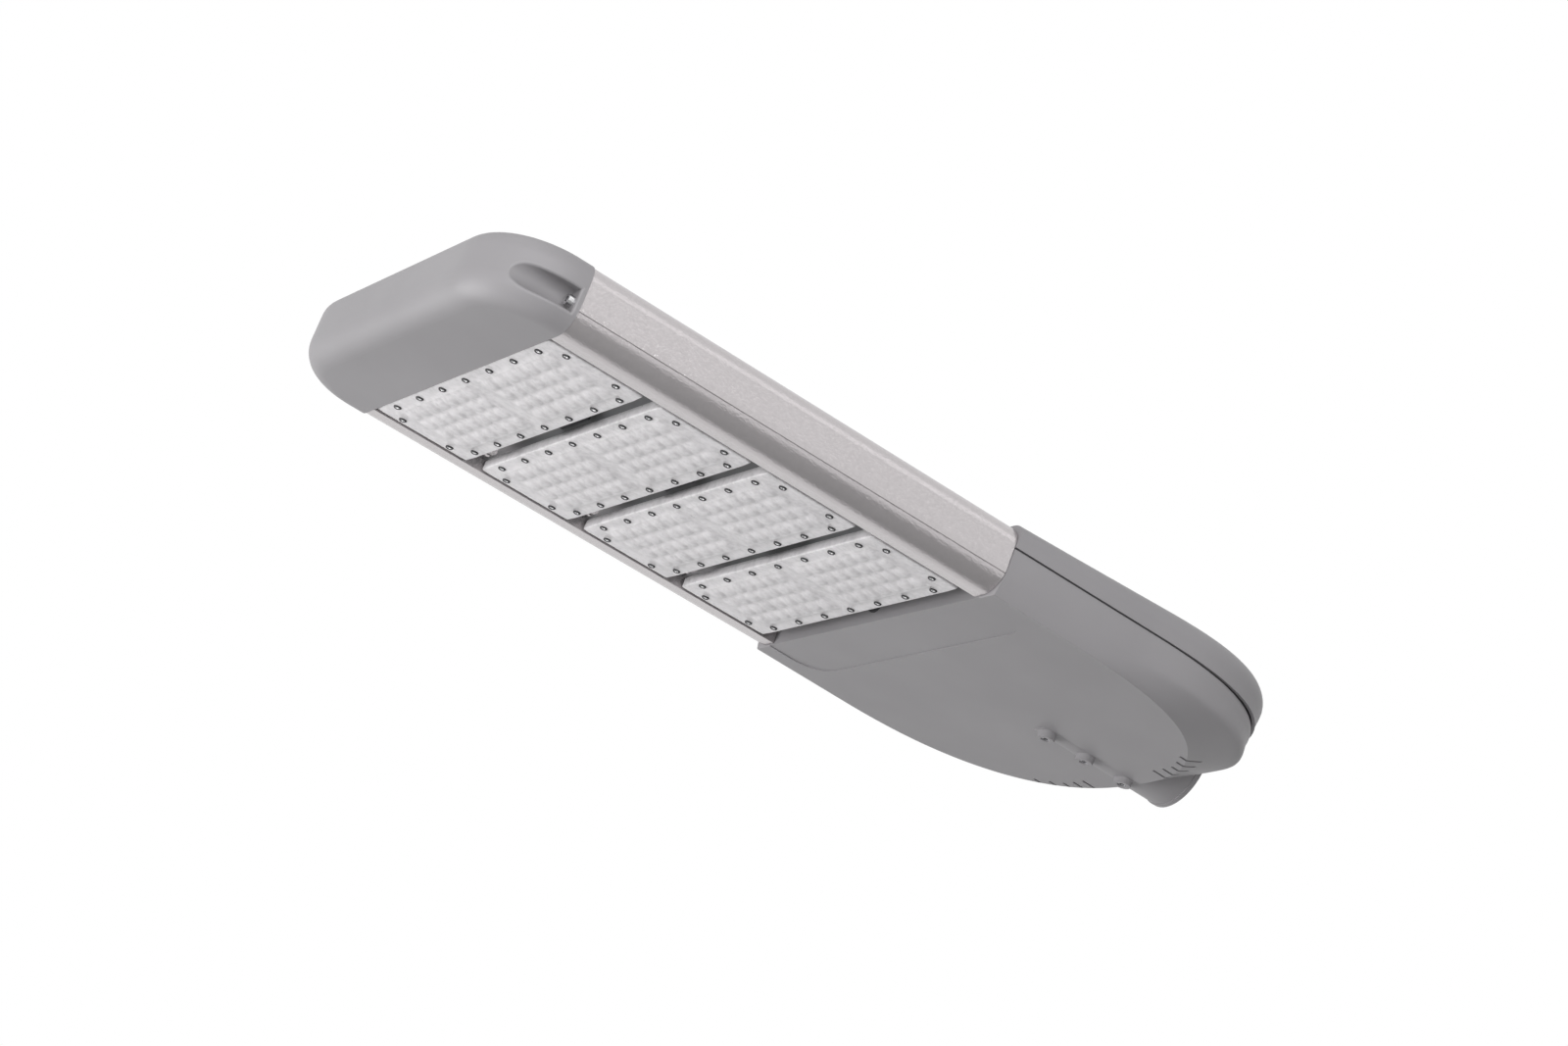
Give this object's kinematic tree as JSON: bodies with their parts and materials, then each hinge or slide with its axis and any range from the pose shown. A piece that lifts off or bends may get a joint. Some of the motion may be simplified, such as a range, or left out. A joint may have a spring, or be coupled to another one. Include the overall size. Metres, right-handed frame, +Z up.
{
  "type": "led street light head",
  "caption": "Flat street light head: a nose cap, two side rails, LED modules in a row between them, and a gear housing whose socket slides over a pole's end",
  "frame": {"origin": "centre of the pole socket's mouth, on the socket's axis", "axes": "+X out of the socket toward the pole, with the nose toward -X; +Z up, with the LEDs facing -Z; +Y to the side that is farther from the picture's camera"},
  "size_m": [0.766, 0.3524, 0.086],
  "materials": {
    "casting": "satin mid grey paint on an aluminium casting",
    "rail": "smooth silver grey extrusion",
    "heatsink": "plain aluminium",
    "board": "white solder mask",
    "gasket": "black silicone",
    "lens": "clear moulded lens plate",
    "screw": "stainless steel",
    "steel": "zinc plated sheet",
    "black_plastic": "black moulded plastic",
    "driver_case": "anodised case"
  },
  "bodies": {
    "root": {"nose_cap": "casting", "nose_cap_screws": "screw", "side_rail_left": "rail", "side_rail_right": "rail", "module_heatsink_1": "heatsink", "module_heatsink_2": "heatsink", "module_heatsink_3": "heatsink", "module_heatsink_4": "heatsink", "module_board_1": "board", "module_board_2": "board", "module_board_3": "board", "module_board_4": "board", "module_gasket_1": "gasket", "module_gasket_2": "gasket", "module_gasket_3": "gasket", "module_gasket_4": "gasket", "module_lens_1": "lens", "module_lens_2": "lens", "module_lens_3": "lens", "module_lens_4": "lens", "module_lens_screws_1": "screw", "module_lens_screws_2": "screw", "module_lens_screws_3": "screw", "module_lens_screws_4": "screw", "module_connector_1": "black_plastic", "module_connector_2": "black_plastic", "module_connector_3": "black_plastic", "module_connector_4": "black_plastic", "module_ear_screws": "screw", "rail_screws": "screw", "gear_housing": "casting", "gear_cover": "casting", "cover_screws": "screw", "pole_set_screws": "screw", "gear_tray": "steel", "tray_screws": "screw", "led_driver": "driver_case", "surge_protector": "black_plastic", "terminal_block": "black_plastic", "cable_clamp": "black_plastic", "lead_grommet": "gasket"}
  },
  "joints": []
}
